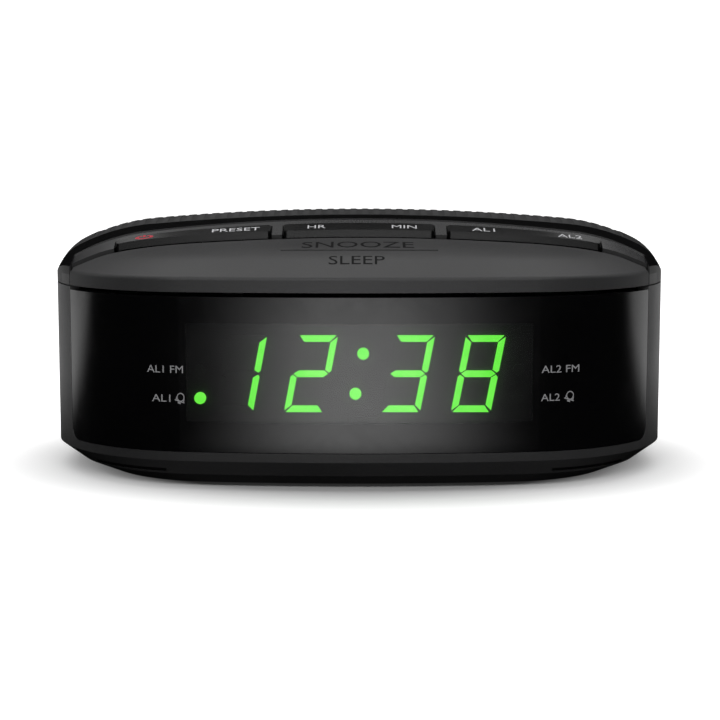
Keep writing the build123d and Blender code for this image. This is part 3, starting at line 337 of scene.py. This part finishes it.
finishes = {
    "housing": moulded("grained_case", 0.028, (0.42, 0.55), dust=0.02),
    "bar": moulded("grained_bar", 0.034, (0.46, 0.6), grain=2200.0, pit=0.035, dust=0.03),
    "gloss": glossy("polished_black", (0.0022, 0.0022, 0.0025), 0.16, dust=0.02),
    "satin": moulded("satin_trough", 0.030, (0.26, 0.32), grain=5200.0, pit=0.002),
    "arch_foot": moulded("arch_foot", 0.009, (0.5, 0.62)),
    "key": moulded("satin_key", 0.0045, (0.15, 0.2), grain=4200.0, pit=0.0015),
    "grille": fluted_grille(),
    "rubber": moulded("foot_rubber", 0.012, (0.75, 0.9), grain=1500.0, pit=0.03),
    "steel": metal("zinc_plate", (0.62, 0.62, 0.60), (0.24, 0.42)),
    "spring_steel": metal("nickel_plate", (0.68, 0.66, 0.62), (0.16, 0.3), (1.0, 6.0, 6.0)),
    "cell": battery_jacket(),
    "board": circuit_board(),
    "black_part": moulded("inner_moulding", 0.010, (0.4, 0.55), grain=1800.0),
    "can": metal("bright_can", (0.78, 0.79, 0.80), (0.18, 0.34), (1.0, 1.0, 8.0)),
    "led_face": moulded("led_face", 0.05, (0.5, 0.62), grain=3000.0, pit=0.006),
    "led_lit": lit_led(),
    "led_off": moulded("unlit_segment", (0.060, 0.066, 0.060), (0.42, 0.5), grain=3000.0, pit=0.004),
    "paper": paper_cone(),
    "foam": moulded("surround_foam", 0.012, (0.85, 0.98), grain=1700.0, pit=0.12),
    "ferrite": moulded("ferrite", 0.035, (0.5, 0.7), grain=1200.0, pit=0.05, Metallic=0.3),
    "brass": metal("brass_pin", (0.78, 0.60, 0.30), (0.18, 0.3)),
}
WINDOW_ALPHA = 0.55
finishes["window"] = glossy("smoked_window", (0.004, 0.004, 0.0045), 0.16, Alpha=WINDOW_ALPHA,
                            Specular_IOR_Level=0.9)
white_ink, grey_ink = print_ink("white_print", 0.62), print_ink("grey_print", 0.40)
dark_ink = print_ink("dark_print", 0.004, (0.7, 0.8), Specular_IOR_Level=0.15)
red_ink = print_ink("red_print", (0.50, 0.012, 0.035))

for part in frame["record"]["subparts"]:
    mesh = nodes[part["node"]].data
    mesh.materials.clear()
    mesh.materials.append(finishes[part["material_slot"]])

# The key trough's ends belong to the case's side. Its front-facing walls get the dark inner moulding as
# painted shade in the gaps between the keys.
trough = nodes["key_trough"].data
trough.materials.append(finishes["housing"])
trough.materials.append(finishes["black_part"])
for face in trough.polygons:
    at_end = abs(face.center.x) > TROUGH_END_X and face.center.z < TROUGH_END_TOP_Z
    if at_end and abs(face.normal.z) < 0.5:
        face.material_index = 1
    elif face.normal.y < -0.5:
        # painted shade: the walls facing the front take the dark inner moulding
        face.material_index = 2
# The arch's feet are grained like the case, so they don't mirror the bright table.
arch = nodes["arch_trim"].data
arch.materials.append(finishes["arch_foot"])
for face in arch.polygons:
    if face.center.z < ARCH_FOOT_TOP_Z and abs(face.normal.z) < 0.35:
        face.material_index = 1


# ---------------------------------------------------------------- modelling helpers
def deselect():
    if bpy.context.object and bpy.context.object.mode != "OBJECT":
        bpy.ops.object.mode_set(mode="OBJECT")
    bpy.ops.object.select_all(action="DESELECT")


def hold(piece):
    """Makes piece the only selected and the active object."""
    deselect()
    piece.select_set(True)
    bpy.context.view_layer.objects.active = piece


def settle(piece):
    """Puts a piece's place, turn and size into its mesh."""
    hold(piece)
    bpy.ops.object.transform_apply(location=True, rotation=True, scale=True)


def apply_modifier(piece, kind, **settings):
    hold(piece)
    bpy.ops.object.modifier_add(type=kind)
    modifier = piece.modifiers[-1]
    for key, value in settings.items():
        setattr(modifier, key, value)
    bpy.ops.object.modifier_apply(modifier=modifier.name)


TURNS = {"top": (0, 0, 0), "front": (pi / 2, 0, 0)}  # of a flat shape drawn in XY
STAND_OFF = 2 * MM
INK_PROUD, INK_THICK = 0.02 * MM, 0.05 * MM


def lay_on(piece, facing, centre, size, node, cuts=0):
    """Fits a flat shape to its size, stands it off at its place and presses it onto a node's surface."""
    forward = facing == "front"
    hold(piece)
    bpy.ops.object.origin_set(type="ORIGIN_GEOMETRY", center="BOUNDS")
    wide, high = piece.dimensions.x, piece.dimensions.y
    piece.scale = (size[0] * MM / wide, size[1] * MM / high, 1)
    piece.rotation_euler = TURNS[facing]
    low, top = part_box(node)
    place = [value * MM for value in centre]
    if forward:
        place[1] = low.y - STAND_OFF
    else:
        place[2] = top.z + STAND_OFF
    piece.location = place
    settle(piece)
    if cuts:
        bpy.ops.object.mode_set(mode="EDIT")
        bpy.ops.mesh.select_all(action="SELECT")
        bpy.ops.mesh.subdivide(number_cuts=cuts)
        bpy.ops.object.mode_set(mode="OBJECT")
    apply_modifier(piece, "SHRINKWRAP", target=nodes[node], wrap_method="PROJECT", offset=INK_PROUD,
                   use_project_x=False, use_project_y=forward, use_project_z=not forward,
                   use_positive_direction=forward, use_negative_direction=not forward)
    apply_modifier(piece, "SOLIDIFY", thickness=INK_THICK, offset=-1.0)


def finish_print(piece, name, body, ink):
    piece.name = name
    piece.data.name = name
    piece.data.materials.clear()
    piece.data.materials.append(ink)
    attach(piece, body)


def words(name, text, facing, centre, size, node, body, ink, cuts=0):
    """A printed word of the given width and height, pressed onto a node."""
    deselect()
    bpy.ops.object.text_add()
    piece = bpy.context.object
    piece.data.body = text
    piece.data.resolution_u = 3
    piece.scale = (MM, MM, MM)
    bpy.ops.object.convert(target="MESH")
    piece = bpy.context.object
    settle(piece)
    lay_on(piece, facing, centre, size, node, cuts)
    finish_print(piece, name, body, ink)


# ---------------------------------------------------------------- legends
FRONT_Y = -46.0


def at(x, depth):
    """A place on the top, given across and back from the front, in millimetres."""
    return (x, FRONT_Y + depth, 0.0)


for name, text, x, depth, size in (
    ("legend_snooze", "SNOOZE", -0.35, 17.0, (27.3, 5.6)),
    ("legend_sleep", "SLEEP", -0.6, 6.8, (13.4, 3.5)),
):
    words(name, text, "top", at(x, depth), size, "snooze_bar", "snooze_bar", dark_ink, 2)
for key, name, text, x, wide in (
    ("key_power_preset", "legend_preset", "PRESET", -30.7, 11.9),
    ("key_hour_minute", "legend_hour", "HR", -10.6, 4.5),
    ("key_hour_minute", "legend_minute", "MIN", 11.2, 6.2),
    ("key_alarm", "legend_alarm_1", "AL1", 30.9, 5.7),
    ("key_alarm", "legend_alarm_2", "AL2", 52.4, 6.0),
):
    off_middle = abs(x) / 60.0
    words(name, text, "top", at(x, 27.3 - 0.7 * off_middle ** 2), (wide, 1.7 - 0.4 * off_middle ** 2),
          key, key, white_ink, 1)
for name, text, x, z, wide in (
    ("legend_alarm_1_radio", "AL1 FM", -46.4, 29.0, 8.8),
    ("legend_alarm_2_radio", "AL2 FM", 48.1, 29.0, 9.3),
    ("legend_alarm_1_bell", "AL1", -47.4, 22.0, 4.5),
    ("legend_alarm_2_bell", "AL2", 45.7, 22.2, 4.6),
):
    words(name, text, "front", (x, 0, z), (wide, 1.75), "display_lens", "case", grey_ink)


def flat_ring(inner, outer, gap=0.0):
    """A flat annulus in millimetres drawn from an inset disc, with a gap at the top if asked for."""
    deselect()
    bpy.ops.mesh.primitive_circle_add(vertices=48, radius=outer * MM, fill_type="NGON")
    piece = bpy.context.object
    bpy.ops.object.mode_set(mode="EDIT")
    bpy.ops.mesh.select_all(action="SELECT")
    bpy.ops.mesh.inset(thickness=(outer - inner) * MM)
    bpy.ops.mesh.delete(type="FACE")
    if gap:
        bpy.ops.mesh.select_all(action="DESELECT")
        bpy.ops.object.mode_set(mode="OBJECT")
        for face in piece.data.polygons:
            face.select = abs(face.center.x) < gap * MM and face.center.y > 0
        bpy.ops.object.mode_set(mode="EDIT")
        bpy.ops.mesh.delete(type="FACE")
    bpy.ops.object.mode_set(mode="OBJECT")
    return piece


def flat_bar(x, y, wide, high):
    """A flat bar in millimetres."""
    deselect()
    bpy.ops.mesh.primitive_plane_add(size=1.0, location=(x * MM, y * MM, 0))
    piece = bpy.context.object
    piece.scale = (wide * MM, high * MM, 1)
    settle(piece)
    bpy.ops.object.mode_set(mode="EDIT")
    bpy.ops.mesh.select_all(action="SELECT")
    bpy.ops.mesh.subdivide(number_cuts=3)
    bpy.ops.object.mode_set(mode="OBJECT")
    return piece


def joined(pieces):
    deselect()
    for piece in pieces:
        piece.select_set(True)
    bpy.context.view_layer.objects.active = pieces[0]
    bpy.ops.object.join()
    return bpy.context.object


def bell_sign():
    """An outlined bell: a domed ring, a wide rim and a clapper, leaning to the right."""
    dome = flat_ring(0.78, 1.0)
    rim = flat_bar(0.0, -0.95, 2.6, 0.24)
    clapper = flat_bar(0.0, -1.32, 0.8, 0.34)
    sides = [flat_bar(sign * 0.98, -0.5, 0.24, 0.8) for sign in (-1, 1)]
    piece = joined([dome, rim, clapper, *sides])
    piece.rotation_euler = (0, 0, radians(-16))
    settle(piece)
    return piece


def power_sign():
    """The open ring and stroke of a standby key."""
    return joined([flat_ring(0.62, 1.0, 0.28), flat_bar(0.0, 0.62, 0.3, 1.1)])


for name, x, z in (("sign_alarm_1_bell", -42.9, 22.0), ("sign_alarm_2_bell", 50.3, 22.2)):
    sign = bell_sign()
    lay_on(sign, "front", (x, 0, z), (2.4, 2.7), "display_lens")
    finish_print(sign, name, "case", grey_ink)
sign = power_sign()
lay_on(sign, "top", at(-53.5, 26.6), (4.6, 1.7), "key_power_preset", 1)
finish_print(sign, "sign_power", "key_power_preset", red_ink)


# ---------------------------------------------------------------- camera, floor and light
CAMERA_PLACE, CAMERA_DOWN, CAMERA_LENS = (0, -0.476, 0.08814), 7.48, 91.75


def reflector_card():
    """A glowing card on the table that only reflections see: a soft lobe ahead of the display, and the pale
    table beside and behind the case."""
    bpy.ops.mesh.primitive_plane_add(size=1.6, location=(0, 0, 0.0004))
    card = bpy.context.object
    card.name = "reflector_card"
    lit = bpy.data.materials.new("soft_card")
    lit.use_nodes = True
    tree = lit.node_tree
    tree.nodes.remove(tree.nodes["Principled BSDF"])
    place = add(tree, "ShaderNodeSeparateXYZ", {0: object_place(tree)}).outputs
    aside = math_node(tree, "ABSOLUTE", place["X"])
    # The lobe widens with its distance from the case.
    reach = ranged(tree, place["Y"], -0.489, -0.131, 0.200, 0.068)
    share = math_node(tree, "DIVIDE", aside, reach)
    lobe = ranged(tree, share, 0.0, 1.05, 1.0, 0.0, interpolation_type="SMOOTHSTEP")
    ahead = ranged(tree, place["Y"], -0.100, -0.090, 1.0, 0.0)
    behind = ranged(tree, place["Y"], 0.01, 0.085, 0.0, 1.0, interpolation_type="SMOOTHSTEP")
    beside = ranged(tree, aside, 0.10, 0.16, 0.0, 1.0)
    front_part = math_node(tree, "MULTIPLY", math_node(tree, "MULTIPLY", lobe, ahead), 2.85)
    back_part = math_node(tree, "MULTIPLY", math_node(tree, "MULTIPLY", behind, beside), 1.1)
    glow = add(tree, "ShaderNodeEmission", {"Strength": math_node(tree, "ADD", front_part, back_part)})
    tree.links.new(glow.outputs[0], tree.nodes["Material Output"].inputs["Surface"])
    card.data.materials.append(lit)
    card.visible_camera = card.visible_diffuse = card.visible_shadow = False
    card.visible_transmission = False


def studio():
    deselect()
    bpy.ops.object.camera_add(location=CAMERA_PLACE, rotation=(radians(90 - CAMERA_DOWN), 0, 0))
    camera = bpy.context.object
    camera.data.lens = CAMERA_LENS
    camera.data.sensor_width = 36.0
    camera.data.shift_x = 0.001
    bpy.context.scene.camera = camera

    bpy.ops.mesh.primitive_plane_add(size=8.0, location=(0, 0, 0))
    floor = bpy.context.object
    floor.name = "floor"
    paper, tree, shader = blank("pale_floor", Roughness=0.9, Specular_IOR_Level=0.1, Emission_Strength=1.0)
    where = object_place(tree)
    tone = mixed(tree, noise(tree, where, 3.0), (0.68, 0.68, 0.68, 1), (0.71, 0.71, 0.71, 1))
    tree.links.new(tone, shader.inputs["Base Color"])
    # The floor's glow is kept low close round the case, a painted shadow under and around it, and rises to
    # a plain bright floor further out.
    narrowed = add(tree, "ShaderNodeVectorMath", {0: where, 1: (0.75, 1.0, 1.0)}, operation="MULTIPLY")
    away = add(tree, "ShaderNodeVectorMath", {0: narrowed.outputs[0]}, operation="LENGTH").outputs["Value"]
    floor_glow_past_painted_shadow = ranged(tree, away, 0.046, 0.09, 0.02, 1.1)
    tree.links.new(mixed(tree, floor_glow_past_painted_shadow, (0, 0, 0, 1), (1, 1, 1, 1)), shader.inputs["Emission Color"])
    floor.data.materials.append(paper)
    floor.visible_glossy = floor.visible_diffuse = False
    reflector_card()

    for name, place, turn, size, power in (
        ("soft_overhead", (0.0, 0.22, 1.0), (radians(-10), 0.0, 0.0), (1.6, 0.9), 6.8),
        ("soft_front", (0.0, -1.15, 0.85), (radians(58), 0.0, 0.0), (1.4, 0.5), 9.5),
        ("soft_left", (-1.1, 0.1, 0.5), (0.0, radians(-68), 0.0), (0.6, 0.6), 1.3),
        ("soft_right", (1.1, 0.1, 0.5), (0.0, radians(68), 0.0), (0.6, 0.6), 1.3),
    ):
        bpy.ops.object.light_add(type="AREA", location=place, rotation=turn)
        lamp = bpy.context.object
        lamp.name = name
        lamp.data.shape = "RECTANGLE"
        lamp.data.size, lamp.data.size_y = size
        lamp.data.energy = power

    world = bpy.data.worlds.new("studio_air")
    bpy.context.scene.world = world
    world.use_nodes = True
    air = world.node_tree
    seen = add(air, "ShaderNodeLightPath").outputs
    clear = ranged(air, seen["Is Camera Ray"], 0.0, 1.0, 0.10, 1.15)
    shine = ranged(air, seen["Is Glossy Ray"], 0.0, 1.0, 1.0, 0.06)
    background = air.nodes["Background"]
    background.inputs["Color"].default_value = (1, 1, 1, 1)
    air.links.new(math_node(air, "MULTIPLY", clear, shine), background.inputs["Strength"])
    bpy.context.scene.view_settings.view_transform = "Standard"


studio()
